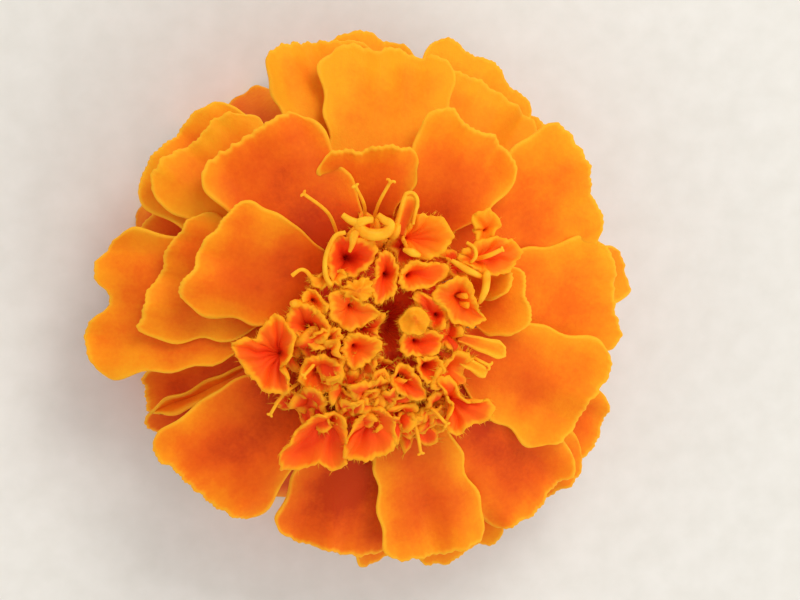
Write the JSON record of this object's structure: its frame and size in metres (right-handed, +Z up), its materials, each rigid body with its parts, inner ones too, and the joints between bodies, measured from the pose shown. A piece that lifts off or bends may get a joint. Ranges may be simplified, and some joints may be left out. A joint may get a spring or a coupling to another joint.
{
  "type": "marigold flower",
  "caption": "Double French marigold head, picked with a short stub of stem and set down face up: ruffled orange petals in layers round a fringed yellow crest.",
  "frame": {"origin": "on the surface the head rests on, below the middle of its spread", "axes": "+Z up, out of the flower's face; +X and +Y lie in the surface"},
  "size_m": [0.0519, 0.0499, 0.0258],
  "materials": {
    "stem": "fresh green stem, finely ribbed, soft sheen",
    "involucre": "smooth green bracts with darker oil glands, soft sheen",
    "petals": "velvety fresh petals, orange with red centres and yellow rims, matte",
    "crest": "small fresh florets, yellow fringes over deep red throats, matte"
  },
  "bodies": {
    "root": {"stem": "stem", "involucre": "involucre", "ray_florets": "petals", "disc_florets": "crest"}
  },
  "joints": []
}
